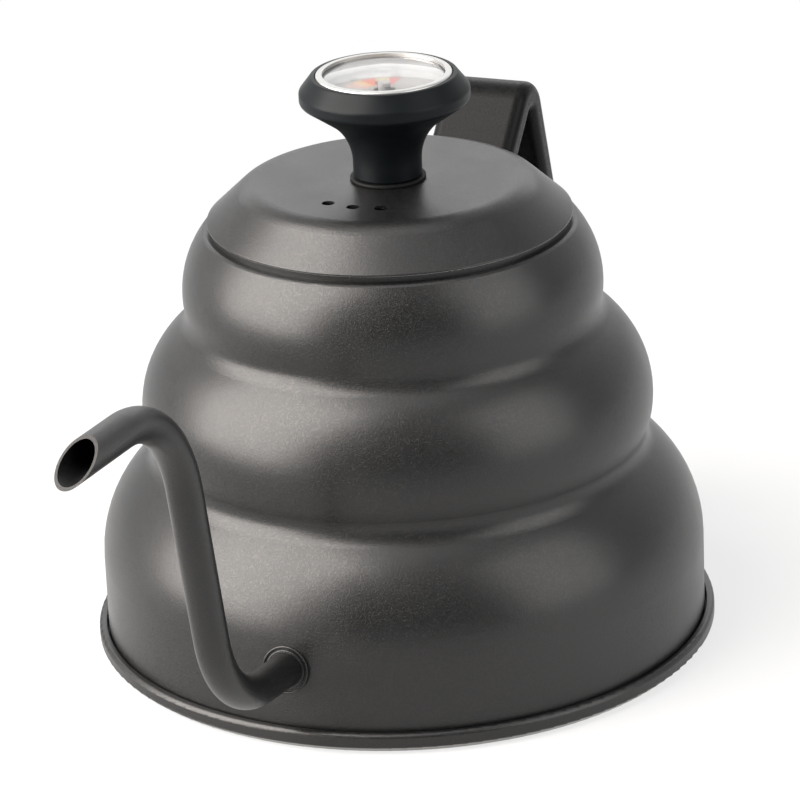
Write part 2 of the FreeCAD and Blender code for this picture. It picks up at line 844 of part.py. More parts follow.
def lid_shell():
    drop = dim.lid_sheet / cosine(dim.lid_cone_slope)
    hem_top = lid_seat + dim.lid_sheet
    top_inside = lid_top - dim.lid_sheet
    cone_rise = tangent(dim.lid_cone_slope)
    crease_inside = lid_crease - (drop - dim.lid_sheet) / cone_rise
    hem_inside = lid_rim - (hem_top - lid_rim_top + drop) / cone_rise
    dome = turned("lid_dome", [
        (stud_hole_radius, lid_top),
        (lid_crease, lid_top, dim.lid_crease_round),
        (lid_rim, lid_rim_top, dim.lid_rim_round),
        (lid_rim, lid_seat, dim.lid_rim_round),
        (lid_rim - dim.lid_hem_width, lid_seat),
        (lid_rim - dim.lid_hem_width, hem_top),
        (hem_inside, hem_top),
        (crease_inside, top_inside, dim.lid_crease_round - dim.lid_sheet),
        (stud_hole_radius, top_inside),
    ])
    vents = []
    vent_circle = lid_crease - dim.vent_inset
    count = int(dim.vent_count.number)
    for number in range(count):
        angle = (number - (count - 1) / 2) * dim.vent_spacing
        vents.append(drill(f"vent_{number + 1}", dim.vent_radius, lid_top - dim.lid_sheet, dim.lid_sheet,
                           x=vent_circle * cosine(angle), y=vent_circle * sine(angle)))
    add_piece(cut("lid_shell", dome, fused("vents", vents)), "lid_shell")


def lid_skirt():
    outside = neck_radius - dim.skirt_clearance
    inside = outside - dim.skirt_sheet
    foot = mouth_height - dim.skirt_depth
    skirt_rim = neck_radius + dim.skirt_flange_reach
    skirt = turned("lid_skirt", [
        (inside, foot),
        (outside, foot),
        (outside, mouth_height),
        (skirt_rim, mouth_height),
        (skirt_rim, lid_seat),
        (inside, lid_seat),
    ])
    add_piece(skirt, "lid_skirt")


# Knob and its fastening

def knob():
    recess = bezel_outside + dim.knob_recess_clearance
    top_rim = recess + dim.knob_rim_width
    band_rim = top_rim + dim.knob_band_overhang
    band_base = knob_foot + dim.knob_band_base
    flare_rise = (band_rim - dim.knob_stem_radius) * tangent(dim.knob_flare_slope)
    grip = turned("knob", [
        (stud_hole_radius, knob_foot),
        (dim.knob_stem_radius, knob_foot, dim.knob_foot_round),
        (dim.knob_stem_radius, band_base - flare_rise, dim.knob_flare_round),
        (band_rim, band_base, dim.knob_band_round),
        (band_rim, band_base + dim.knob_band_height, dim.knob_band_round),
        (top_rim, knob_top, dim.knob_top_round),
        (recess, knob_top),
        (recess, recess_floor),
        (stud_hole_radius, recess_floor),
    ])
    add_piece(grip, "knob")


def knob_gasket():
    rim = dim.knob_stem_radius + dim.gasket_overhang
    gasket = turned("knob_gasket", [
        (stud_hole_radius, lid_top),
        (rim, lid_top, dim.gasket_round),
        (rim, knob_foot, dim.gasket_round),
        (stud_hole_radius, knob_foot),
    ])
    add_piece(gasket, "knob_gasket")


def knob_fastening():
    """The hollow headed stud, and the washer and nut on it under the lid."""
    washer_top = lid_top - dim.lid_sheet
    nut_top = washer_top - dim.washer_thickness
    nut_foot = nut_top - dim.nut_height
    head_rim = stud_radius + dim.stud_head_overhang
    stud = turned("knob_stud", [
        (stud_bore, nut_foot - dim.stud_tail),
        (stud_radius, nut_foot - dim.stud_tail),
        (stud_radius, recess_floor),
        (head_rim, recess_floor),
        (head_rim, case_base),
        (stud_bore, case_base),
    ])
    add_piece(stud, "knob_stud")
    washer_rim = stud_radius + dim.washer_width
    washer = ring("nut_washer", stud_hole_radius, washer_rim, nut_top, dim.washer_thickness)
    add_piece(washer, "nut_washer")
    hexagon = doc.addObject("Part::Prism", "nut_blank")
    hexagon.Polygon = 6
    half_flats = stud_radius + dim.nut_wall
    drive(hexagon, "Circumradius", half_flats / cosine(as_size(HALF_TURN / hexagon.Polygon)))
    drive(hexagon, "Height", dim.nut_height)
    place(hexagon, z=nut_foot)
    nut_hole = drill("nut_hole", stud_radius + dim.weld_gap, nut_foot, dim.nut_height)
    add_piece(cut("knob_nut", hexagon, nut_hole), "knob_nut")


# Thermometer

def thermometer_case():
    hole = dim.stem_radius + dim.weld_gap
    ledge = case_base + dim.dial_ledge_height
    ledge_inside = case_inside - dim.dial_ledge_width
    cup = turned("thermometer_case", [
        (hole, case_base),
        (dim.case_radius, case_base),
        (dim.case_radius, case_top),
        (case_inside, case_top),
        (case_inside, ledge),
        (ledge_inside, ledge),
        (ledge_inside, case_floor_top),
        (hole, case_floor_top),
    ])
    add_piece(cup, "thermometer_case")


def dial_face():
    low = case_base + dim.dial_ledge_height
    hole = hub_radius + dim.dial_hole_clearance
    add_piece(ring("dial_face", hole, dial_rim, low, dim.dial_thickness), "dial_face")


def lens_gasket():
    seal = ring("lens_gasket", dim.case_radius - dim.seal_width, dim.case_radius,
                case_top, dim.seal_thickness)
    add_piece(seal, "lens_gasket")


def dome_round(rim, rise):
    """A little tighter than the arc that would join the rim to the crown by itself."""
    return dim.lens_dome_share * (rim * rim + rise * rise) / (2 * rise)


def lens():
    """A clear cover with a flat land round a shallow dome."""
    dome_rim = dim.case_radius - dim.lens_land
    crown_height = lens_land_height + dim.lens_crown
    hollow_height = lens_base + dim.lens_hollow
    hollow_rim = dim.case_radius - dim.seal_width
    cover = turned("lens", [
        (0, crown_height),
        (dome_rim / 2, crown_height, dome_round(dome_rim, dim.lens_crown)),
        (dome_rim, lens_land_height),
        (dim.case_radius, lens_land_height),
        (dim.case_radius, lens_base),
        (hollow_rim, lens_base),
        (hollow_rim / 2, hollow_height, dome_round(hollow_rim, dim.lens_hollow)),
        (0, hollow_height),
    ])
    add_piece(cover, "lens")


def bezel_ring():
    lip = bezel_inside - dim.bezel_lip
    top = lens_land_height + dim.bezel_lip_thickness
    foot = lens_land_height - dim.bezel_skirt
    bezel = turned("bezel_ring", [
        (lip, lens_land_height),
        (lip, top),
        (bezel_outside, top, dim.bezel_edge_round),
        (bezel_outside, foot),
        (bezel_inside, foot),
        (bezel_inside, lens_land_height),
    ])
    add_piece(bezel, "bezel_ring")


def probe():
    """The stem that hangs in the water, its end plug and the bush at its top."""
    stem = ring("probe_stem", stem_bore, dim.stem_radius, stem_tip, case_floor_top - stem_tip)
    add_piece(stem, "probe_stem")
    core = stem_bore - dim.plug_clearance
    plug = turned("tip_plug", [
        (0, stem_tip), (core, stem_tip), (core, plug_top), (0, plug_top),
    ])
    add_piece(plug, "tip_plug")
    shaft_hole = dim.shaft_radius + dim.shaft_clearance
    bush_rim = dim.stem_radius + dim.bush_flange_reach
    bush = turned("stem_bush", [
        (shaft_hole, case_floor_top - dim.bush_length),
        (core, case_floor_top - dim.bush_length),
        (core, case_floor_top),
        (bush_rim, case_floor_top),
        (bush_rim, bush_top),
        (shaft_hole, bush_top),
    ])
    add_piece(bush, "stem_bush")


coil_base = plug_top + dim.coil_wire_radius + dim.coil_end_gap
coil_height = dim.coil_pitch * dim.coil_turns
coil_radius = stem_bore - dim.coil_clearance - dim.coil_wire_radius


def bimetal_coil():
    """The wound strip: a round wire swept along a helix."""
    helix = doc.addObject("Part::Helix", "coil_line")
    drive(helix, "Pitch", dim.coil_pitch)
    drive(helix, "Height", coil_height)
    drive(helix, "Radius", coil_radius)
    place(helix, z=coil_base)
    wire = doc.addObject("Part::Circle", "coil_wire")
    drive(wire, "Radius", dim.coil_wire_radius)
    turn(wire, ABOUT_X, QUARTER_TURN)
    place(wire, x=coil_radius, z=coil_base)
    doc.recompute()
    coil = doc.addObject("Part::Sweep", "bimetal_coil")
    coil.Sections = [wire]
    coil.Spine = (helix, [f"Edge{number}" for number in range(1, len(helix.Shape.Edges) + 1)])
    coil.Solid = True
    coil.Frenet = True
    add_piece(coil, "bimetal_coil")


def pointer_shaft():
    driver_foot = coil_base + coil_height + dim.coil_wire_radius + dim.coil_end_gap
    driver_head = driver_foot + dim.driver_height
    driver_rim = stem_bore - dim.driver_clearance
    shaft = turned("pointer_shaft", [
        (0, plug_top + dim.shaft_foot_gap),
        (dim.shaft_radius, plug_top + dim.shaft_foot_gap),
        (dim.shaft_radius, driver_foot),
        (driver_rim, driver_foot),
        (driver_rim, driver_head),
        (dim.shaft_radius, driver_head),
        (dim.shaft_radius, hub_top),
        (0, hub_top),
    ])
    add_piece(shaft, "pointer_shaft")


def pointer():
    """The needle, pointing along its rest angle, on a hub that fits the shaft."""
    hub = ring("pointer_hub", hub_bore, hub_radius, hub_base, dim.hub_height)
    body = new_body("pointer_needle")
    sketch = new_sketch(body, "pointer_needle_outline", "XY_Plane")
    root = dim.needle_root_width / 2
    tip = dim.needle_tip_width / 2
    reach = dial_rim - dim.needle_margin
    draw_outline(sketch, [
        (-dim.needle_tail, -root), (0, -root), (reach, -tip),
        (reach, tip), (0, root), (-dim.needle_tail, root),
    ])
    pad = body.newObject("PartDesign::Pad", "pointer_needle_pad")
    pad.Profile = sketch
    drive(pad, "Length", dim.needle_thickness)
    turn(body, UPRIGHT, dim.needle_rest_angle)
    place(body, z=hub_base + dim.needle_lift)
    shaft_way = drill("pointer_bore", hub_bore, hub_base, dim.hub_height)
    add_piece(cut("pointer", fused("pointer_blank", [hub, body]), shaft_way), "pointer")


# The whole kettle

wall_shape = bulged_solid("wall_shape", dim.weld_gap)
base_plate()
bottom_pan()
body_shell()
mouth_ring()
spout_tube()
spout_collar(wall_shape)
handle(wall_shape)
lid_shell()
lid_skirt()
knob()
knob_gasket()
knob_fastening()
thermometer_case()
dial_face()
lens_gasket()
lens()
bezel_ring()
probe()
bimetal_coil()
pointer_shaft()
pointer()
doc.recompute()

for feature in doc.Objects:
    if "Invalid" in feature.State or "Error" in feature.State:
        raise RuntimeError(f"{feature.Name} failed: {feature.State}")
    if feature.isDerivedFrom("Part::Cut"):
        removed = feature.Base.Shape.Volume - feature.Shape.Volume
        if removed <= 0:
            raise RuntimeError(f"{feature.Name} cuts nothing")
for piece in pieces:
    shape = piece.Shape
    if shape.isNull() or not shape.isValid():
        raise RuntimeError(f"{piece.Label} has no valid shape")
    if len(shape.Solids) != 1:
        raise RuntimeError(f"{piece.Label} has {len(shape.Solids)} solids")

os.makedirs("parts", exist_ok=True)
for piece in pieces:
    piece.Shape.exportStep(f"parts/{piece.Label}.step")
    print(f"{piece.Label}: {piece.Shape.Volume:.1f} cubic mm")
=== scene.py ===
"""Gooseneck kettle with a thermometer in its lid knob: finishes, dial print, studio and camera."""
import math

import bpy
from mathutils import Matrix, Vector


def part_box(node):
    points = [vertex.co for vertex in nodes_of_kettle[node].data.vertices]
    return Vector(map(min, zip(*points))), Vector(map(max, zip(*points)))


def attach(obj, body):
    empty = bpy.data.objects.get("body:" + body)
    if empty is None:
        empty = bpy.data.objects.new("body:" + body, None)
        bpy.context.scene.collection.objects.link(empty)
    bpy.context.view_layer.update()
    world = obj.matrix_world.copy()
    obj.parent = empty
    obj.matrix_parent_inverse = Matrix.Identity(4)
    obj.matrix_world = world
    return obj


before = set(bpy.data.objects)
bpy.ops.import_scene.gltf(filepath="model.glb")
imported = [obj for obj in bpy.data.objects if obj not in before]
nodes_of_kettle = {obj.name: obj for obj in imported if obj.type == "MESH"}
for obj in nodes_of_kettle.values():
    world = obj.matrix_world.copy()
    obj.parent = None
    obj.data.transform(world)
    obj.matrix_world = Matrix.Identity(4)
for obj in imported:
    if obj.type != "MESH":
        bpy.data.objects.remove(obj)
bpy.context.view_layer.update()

MILLIMETRE = 0.001
UPWARDS = (0.0, 0.0, 1.0)
LEVEL = (1.0, 1.0, 0.0)

# Where the photograph was taken from: angles in degrees, places in metres, lens and sensor in millimetres

VIEW_AZIMUTH = 22.8
VIEW_DISTANCE = 0.94
VIEW_HEIGHT = 0.428
VIEW_TURN = -0.03
VIEW_PITCH = 21.63
VIEW_ROLL = -2.48
VIEW_LENS = 197.64
SENSOR_WIDTH = 36.0


def direction(azimuth, elevation):
    """Unit vector from the kettle, turned from the camera to the picture's right and then lifted."""
    turned = math.radians(VIEW_AZIMUTH + azimuth)
    lifted = math.radians(elevation)
    flat = math.cos(lifted)
    return Vector((flat * math.cos(turned), flat * math.sin(turned), math.sin(lifted)))


# Wiring of node materials

FACING_FADE = (-0.12, -0.08)


class Wiring:
    """The nodes of one material or of the surround, added and joined step by step."""

    def __init__(self, tree):
        self.tree = tree

    def add(self, kind, **settings):
        node = self.tree.nodes.new(kind)
        for name, value in settings.items():
            setattr(node, name, value)
        return node

    def link(self, source, target):
        self.tree.links.new(source, target)

    def plug(self, socket, value):
        """Joins a socket to another node's output, or sets it to a plain value."""
        if isinstance(value, bpy.types.NodeSocket):
            self.link(value, socket)
        elif socket.type == "RGBA":
            socket.default_value = (*value, 1.0)
        else:
            socket.default_value = value

    def object_place(self):
        return self.add("ShaderNodeTexCoord").outputs["Object"]

    def maths(self, operation, first, second):
        node = self.add("ShaderNodeMath", operation=operation)
        self.plug(node.inputs[0], first)
        self.plug(node.inputs[1], second)
        return node.outputs["Value"]

    def facing(self, first, second):
        """How far one direction points along another, from -1 to 1."""
        node = self.add("ShaderNodeVectorMath", operation="DOT_PRODUCT")
        self.plug(node.inputs[0], first)
        self.plug(node.inputs[1], second)
        return node.outputs["Value"]

    def length(self, vector):
        node = self.add("ShaderNodeVectorMath", operation="LENGTH")
        self.link(vector, node.inputs[0])
        return node.outputs["Value"]

    def unit(self, vector):
        """The direction of a vector, at length 1."""
        node = self.add("ShaderNodeVectorMath", operation="NORMALIZE")
        self.link(vector, node.inputs[0])
        return node.outputs["Vector"]

    def remap(self, source, span, result=(0.0, 1.0), curve="LINEAR"):
        """Carries a value from one span to another and holds it at the ends."""
        node = self.add("ShaderNodeMapRange", interpolation_type=curve)
        ends = ("From Min", "From Max", "To Min", "To Max")
        for name, value in zip(ends, (*span, *result)):
            node.inputs[name].default_value = value
        self.link(source, node.inputs["Value"])
        return node.outputs["Result"]

    def mixed(self, data_type, socket_type, factor, first, second):
        node = self.add("ShaderNodeMix", data_type=data_type)
        self.link(factor, node.inputs["Factor"])
        for name, value in (("A", first), ("B", second)):
            socket = next(s for s in node.inputs if s.name == name and s.type == socket_type)
            self.plug(socket, value)
        return next(s for s in node.outputs if s.type == socket_type)

    def blend(self, factor, first, second):
        """A colour: the first where the factor is 0, the second where it is 1."""
        return self.mixed("RGBA", "RGBA", factor, first, second)

    def between(self, factor, first, second):
        """A number: the first where the factor is 0, the second where it is 1."""
        return self.mixed("FLOAT", "VALUE", factor, first, second)

    def choose(self, factor, first, second):
        """A surface: the first where the factor is 0, the second where it is 1."""
        node = self.add("ShaderNodeMixShader")
        self.link(factor, node.inputs["Fac"])
        self.link(first, node.inputs[1])
        self.link(second, node.inputs[2])
        return node.outputs["Shader"]


class Finish(Wiring):
    """A material of the kettle; its patterns stay fixed to the piece. Noise scales are waves per metre."""

    def __init__(self, name):
        self.material = bpy.data.materials.new(name)
        self.material.use_nodes = True
        super().__init__(self.material.node_tree)
        self.shader = self.tree.nodes["Principled BSDF"]
        self.place = self.object_place()

    def give(self, name, value):
        self.plug(self.shader.inputs[name], value)

    def stretched(self, scale):
        """Object coordinates with a different scale along each axis."""
        mapping = self.add("ShaderNodeMapping")
        mapping.inputs["Scale"].default_value = scale
        self.link(self.place, mapping.inputs["Vector"])
        return mapping.outputs["Vector"]

    def noise(self, scale, detail, place=None):
        node = self.add("ShaderNodeTexNoise")
        node.inputs["Scale"].default_value = scale
        node.inputs["Detail"].default_value = detail
        self.link(place or self.place, node.inputs["Vector"])
        return node.outputs["Fac"]

    def cells(self, size):
        """A random grey for every cell of about that size in metres."""
        node = self.add("ShaderNodeTexVoronoi")
        node.inputs["Scale"].default_value = 1 / size
        self.link(self.place, node.inputs["Vector"])
        split = self.add("ShaderNodeSeparateColor")
        self.link(node.outputs["Color"], split.inputs["Color"])
        return split.outputs["Red"]

    def rings(self, scale):
        """Noise that changes only with the distance from the kettle's axis."""
        node = self.add("ShaderNodeTexNoise", noise_dimensions="1D")
        node.inputs["Scale"].default_value = scale
        self.link(self.distance_from_axis(), node.inputs["W"])
        return node.outputs["Fac"]

    def distance_from_axis(self):
        """Horizontal distance from the kettle's upright axis."""
        return self.length(self.stretched(LEVEL))

    def outwards(self):
        """Horizontal direction away from the kettle's upright axis."""
        return self.unit(self.stretched(LEVEL))

    def turned_against(self, heading):
        """1 on faces that look against a direction, 0 elsewhere."""
        face_normal = self.add("ShaderNodeNewGeometry").outputs["True Normal"]
        return self.remap(self.facing(face_normal, heading), FACING_FADE, (1.0, 0.0))

    def turned_normal(self):
        """Normal of a round piece without its part along the turning, so that no seam shows."""
        normal = self.add("ShaderNodeNewGeometry").outputs["Normal"]
        outwards = self.outwards()
        level = self.add("ShaderNodeVectorMath", operation="SCALE")
        self.link(outwards, level.inputs[0])
        self.link(self.facing(normal, outwards), level.inputs["Scale"])
        upright = self.add("ShaderNodeCombineXYZ")
        self.link(self.facing(normal, UPWARDS), upright.inputs["Z"])
        both = self.add("ShaderNodeVectorMath", operation="ADD")
        self.link(level.outputs["Vector"], both.inputs[0])
        self.link(upright.outputs["Vector"], both.inputs[1])
        return self.unit(both.outputs["Vector"])

    def bump(self, height, depth, strength, normal=None):
        node = self.add("ShaderNodeBump")
        node.inputs["Distance"].default_value = depth
        node.inputs["Strength"].default_value = strength
        self.link(height, node.inputs["Height"])
        if normal:
            self.link(normal, node.inputs["Normal"])
        self.give("Normal", node.outputs["Normal"])


def shaded(colour, share):
    """The same colour, darker or lighter."""
    return tuple(part * share for part in colour)


# Where most of a noise pattern's values lie
NOISE_SPAN = (0.3, 0.7)

# Coated sheet steel

COATING_FLAKE = 0.32 * MILLIMETRE
FLAKES_THAT_SHINE = (0.60, 0.75)
COATING_CLOUDS = 90.0
CLOUD_DETAIL = 3.0
CLOUD_SPAN = (0.25, 0.75)
CLOUD_LIFT = 1.12
COATING_PEEL = 1900.0
PEEL_DETAIL = 1.0
COATING_PEEL_DEPTH = 0.02 * MILLIMETRE
COATING_PEEL_STRENGTH = 0.8
COATING_ROUGHNESS = (0.325, 0.375)
COATING_METAL = 0.05
COATING_SPECULAR = 0.60
COATING_DARK = (0.0068, 0.0068, 0.0070)
COATING_LIGHT = (0.061, 0.060, 0.059)
HANDLE_LIGHT = (0.0125, 0.0123, 0.0121)
HANDLE_SPECULAR = 0.10
STEEL_COLOUR = (0.50, 0.49, 0.475)
STEEL_STREAKS = (60.0, 60.0, 2600.0)
STREAK_DETAIL = 3.0
STREAK_SHADE = 0.9
BARE_EXTRA_GLOSS = 0.08
PAN_FLOOR_RADIUS = 69.0 * MILLIMETRE
PAN_FLOOR_FADE = 1.0 * MILLIMETRE


def wear_coating(finish, light, normal):
    """Gunmetal grey coat: dark binder with pale metal flakes, faint clouding and a fine orange peel."""
    flakes = finish.cells(COATING_FLAKE)
    sparkle = finish.remap(flakes, FLAKES_THAT_SHINE)
    clouds = finish.noise(COATING_CLOUDS, CLOUD_DETAIL)
    binder = finish.blend(finish.remap(clouds, NOISE_SPAN), COATING_DARK, shaded(COATING_DARK, CLOUD_LIFT))
    colour = finish.blend(sparkle, binder, light)
    roughness = finish.remap(clouds, CLOUD_SPAN, COATING_ROUGHNESS)
    metal = finish.remap(sparkle, (0.0, 1.0), (COATING_METAL, 1.0))
    peel = finish.maths("ADD", finish.noise(COATING_PEEL, PEEL_DETAIL), flakes)
    finish.bump(peel, COATING_PEEL_DEPTH, COATING_PEEL_STRENGTH, normal)
    return colour, roughness, metal


def bare_faces(finish, bare_side):
    """1 where a coated piece is left as drawn steel, 0 where it is coated."""
    if bare_side == "inside":
        return finish.turned_against(finish.outwards())
    if bare_side == "under":
        return finish.turned_against(UPWARDS)
    edge = (PAN_FLOOR_RADIUS, PAN_FLOOR_RADIUS + PAN_FLOOR_FADE)
    return finish.remap(finish.distance_from_axis(), edge, (1.0, 0.0))


def coated_finish(name, bare_side=None, specular=COATING_SPECULAR, light=COATING_LIGHT):
    """The coat of the kettle; on a round piece bare_side says which faces are drawn steel."""
    finish = Finish(name)
    normal = finish.turned_normal() if bare_side else None
    colour, roughness, metal = wear_coating(finish, light, normal)
    if bare_side:
        bare = bare_faces(finish, bare_side)
        streaks = finish.noise(1.0, STREAK_DETAIL, finish.stretched(STEEL_STREAKS))
        steel = finish.blend(streaks, shaded(STEEL_COLOUR, STREAK_SHADE), STEEL_COLOUR)
        colour = finish.blend(bare, colour, steel)
        metal = finish.maths("MAXIMUM", metal, bare)
        roughness = finish.maths("SUBTRACT", roughness, finish.maths("MULTIPLY", bare, BARE_EXTRA_GLOSS))
    finish.give("Base Color", colour)
    finish.give("Roughness", roughness)
    finish.give("Metallic", metal)
    finish.give("Specular IOR Level", specular)
    return finish.material


# Bare metal

LATHE_RINGS = 2200.0
RING_SHADE = 0.88
RING_SPAN = (0.2, 0.8)
RING_GLOSSIER = 0.05
RING_DULLER = 0.06
RING_DEPTH = 0.006 * MILLIMETRE
RING_STRENGTH = 0.4
STEEL_STAINS = 70.0
STAIN_DETAIL = 4.0
STAIN_SPAN = (0.35, 0.8)
STAIN_COVER = 0.35
STAIN_SHADE = 0.8
THERMOMETER_STEEL = (0.58, 0.57, 0.55)
BEZEL_STEEL = (0.62, 0.62, 0.61)
BUSH_BRASS = (0.62, 0.43, 0.16)
COIL_STRIP = (0.45, 0.36, 0.28)
SHAFT_STEEL = (0.55, 0.54, 0.52)


def spun_steel(name, colour, roughness):
    """Bare metal with the fine rings that a lathe or a polishing wheel leaves, and faint stains."""
    finish = Finish(name)
    rings = finish.rings(LATHE_RINGS)
    ringed = finish.blend(rings, shaded(colour, RING_SHADE), colour)
    stains = finish.remap(finish.noise(STEEL_STAINS, STAIN_DETAIL), STAIN_SPAN, (0.0, STAIN_COVER))
    gloss = (roughness - RING_GLOSSIER, roughness + RING_DULLER)
    finish.give("Base Color", finish.blend(stains, ringed, shaded(colour, STAIN_SHADE)))
    finish.give("Roughness", finish.remap(rings, RING_SPAN, gloss))
    finish.give("Metallic", 1.0)
    finish.bump(rings, RING_DEPTH, RING_STRENGTH)
    return finish.material


# Knob and gaskets

GRAIN_DETAIL = 2.0
GRAIN_DEPTH = 0.015 * MILLIMETRE
GRAIN_STRENGTH = 0.3
HANDLING_MARKS = 120.0
HANDLING_DETAIL = 4.0
HANDLING_DARKER = 0.85
HANDLING_LIGHTER = 1.15
HANDLING_GLOSS = 0.05
KNOB_BLACK = (0.0028, 0.0042, 0.0052)
KNOB_GRAIN = 0.3 * MILLIMETRE
RUBBER_BLACK = (0.005, 0.005, 0.005)
RUBBER_GRAIN = 0.2 * MILLIMETRE


def moulded_plastic(name, colour, roughness, grain_size, specular):
    """Moulded plastic or rubber: a fine spark-eroded grain and slightly uneven gloss."""
    finish = Finish(name)
    grain = finish.noise(1 / grain_size, GRAIN_DETAIL)
    handling = finish.noise(HANDLING_MARKS, HANDLING_DETAIL)
    gloss = (roughness - HANDLING_GLOSS, roughness + HANDLING_GLOSS)
    darker = shaded(colour, HANDLING_DARKER)
    lighter = shaded(colour, HANDLING_LIGHTER)
    finish.give("Base Color", finish.blend(handling, darker, lighter))
    finish.give("Roughness", finish.remap(handling, NOISE_SPAN, gloss))
    finish.give("Specular IOR Level", specular)
    finish.bump(grain, GRAIN_DEPTH, GRAIN_STRENGTH, finish.turned_normal())
    return finish.material


# Dial, print, needle and glass

INK_COVER = 2500.0
INK_DETAIL = 3.0
INK_SHADE = 0.9
INK_ROUGHNESS = (0.45, 0.6)
LACQUER_WEAR = 1800.0
LACQUER_DETAIL = 3.0
LACQUER_BLACK = (0.030, 0.030, 0.030)
LACQUER_WORN = (0.045, 0.045, 0.045)
LACQUER_ROUGHNESS = (0.42, 0.56)
HUB_RADIUS = 1.6 * MILLIMETRE
HUB_FADE = 0.1 * MILLIMETRE
HUB_COLOUR = (0.36, 0.36, 0.355)
ENAMEL_SPECKLE = 3000.0
ENAMEL_DETAIL = 2.0
ENAMEL_SPAN = (0.3, 0.75)
ENAMEL_DARK = (0.37, 0.37, 0.365)
ENAMEL_LIGHT = (0.42, 0.42, 0.41)
ENAMEL_ROUGHNESS = (0.4, 0.55)
COVER_RIPPLE = 45.0
COVER_DETAIL = 2.0
COVER_DARK = (0.66, 0.66, 0.66)
COVER_LIGHT = (0.72, 0.72, 0.72)
COVER_ROUGHNESS = (0.03, 0.07)
COVER_REFRACTION = 1.49
COVER_RIPPLE_DEPTH = 0.01 * MILLIMETRE
COVER_RIPPLE_STRENGTH = 0.15
COVER_LETS_THROUGH = (0.90, 0.90, 0.90)


def printed_ink(name, colour):
    """Screen-printed ink, a little uneven, on the dial."""
    finish = Finish(name)
    cover = finish.noise(INK_COVER, INK_DETAIL)
    thick = finish.remap(cover, NOISE_SPAN)
    finish.give("Base Color", finish.blend(thick, shaded(colour, INK_SHADE), colour))
    finish.give("Roughness", finish.remap(cover, NOISE_SPAN, INK_ROUGHNESS))
    return finish.material


def needle_paint(name):
    """Black lacquer on the needle, worn thin here and there; its hub is left pale."""
    finish = Finish(name)
    wear = finish.noise(LACQUER_WEAR, LACQUER_DETAIL)
    black = finish.blend(wear, LACQUER_BLACK, LACQUER_WORN)
    past_hub = finish.remap(finish.distance_from_axis(), (HUB_RADIUS, HUB_RADIUS + HUB_FADE))
    finish.give("Base Color", finish.blend(past_hub, HUB_COLOUR, black))
    finish.give("Roughness", finish.remap(wear, NOISE_SPAN, LACQUER_ROUGHNESS))
    return finish.material


def dial_paint(name):
    """Pale grey enamel with a faint speckle."""
    finish = Finish(name)
    speckle = finish.noise(ENAMEL_SPECKLE, ENAMEL_DETAIL)
    finish.give("Base Color", finish.blend(finish.remap(speckle, ENAMEL_SPAN), ENAMEL_DARK, ENAMEL_LIGHT))
    finish.give("Roughness", finish.remap(speckle, NOISE_SPAN, ENAMEL_ROUGHNESS))
    return finish.material


def clear_cover(name):
    """Clear domed cover with faint ripples in its gloss; lamps light the dial through it."""
    finish = Finish(name)
    ripple = finish.noise(COVER_RIPPLE, COVER_DETAIL)
    finish.give("Base Color", finish.blend(ripple, COVER_DARK, COVER_LIGHT))
    finish.give("Roughness", finish.remap(ripple, NOISE_SPAN, COVER_ROUGHNESS))
    finish.give("IOR", COVER_REFRACTION)
    finish.give("Transmission Weight", 1.0)
    finish.bump(ripple, COVER_RIPPLE_DEPTH, COVER_RIPPLE_STRENGTH)
    through = finish.add("ShaderNodeBsdfTransparent")
    finish.plug(through.inputs["Color"], COVER_LETS_THROUGH)
    lamp_ray = finish.add("ShaderNodeLightPath").outputs["Is Shadow Ray"]
    surface = finish.choose(lamp_ray, finish.shader.outputs["BSDF"], through.outputs["BSDF"])
    finish.link(surface, finish.tree.nodes["Material Output"].inputs["Surface"])
    return finish.material


# Each node of the kettle gets its finish


def dress(names, material):
    for name in names:
        for slot in nodes_of_kettle[name].material_slots:
            slot.material = material


dress(["body_shell", "mouth_ring", "lid_skirt"], coated_finish("body_coating", "inside"))
dress(["lid_shell"], coated_finish("lid_coating", "under"))
dress(["bottom_pan"], coated_finish("pan_coating", "middle"))
dress(["spout_tube", "spout_collar"], coated_finish("spout_coating"))
dress(["handle_left_half", "handle_right_half"],
      coated_finish("handle_coating", specular=HANDLE_SPECULAR, light=HANDLE_LIGHT))
dress(["base_plate", "handle_upper_lug", "handle_lower_lug", "nut_washer", "knob_nut", "knob_stud"],
      spun_steel("plain_steel", STEEL_COLOUR, roughness=0.34))
dress(["thermometer_case", "probe_stem", "tip_plug"],
      spun_steel("thermometer_steel", THERMOMETER_STEEL, roughness=0.28))
dress(["bezel_ring"], spun_steel("bezel_bright", BEZEL_STEEL, roughness=0.42))
dress(["stem_bush"], spun_steel("bush_brass", BUSH_BRASS, roughness=0.30))
dress(["bimetal_coil"], spun_steel("coil_strip", COIL_STRIP, roughness=0.35))
dress(["pointer_shaft"], spun_steel("shaft_steel", SHAFT_STEEL, roughness=0.30))
dress(["knob"],
      moulded_plastic("knob_black", KNOB_BLACK, roughness=0.42, grain_size=KNOB_GRAIN, specular=0.15))
dress(["knob_gasket", "lens_gasket"],
      moulded_plastic("gasket_rubber", RUBBER_BLACK, roughness=0.62, grain_size=RUBBER_GRAIN, specular=0.2))
dress(["pointer"], needle_paint("needle_black"))
dress(["dial_face"], dial_paint("dial_enamel"))
dress(["lens"], clear_cover("lens_clear"))

# Dial print: coloured bands, graduation and numbers lie on the enamel

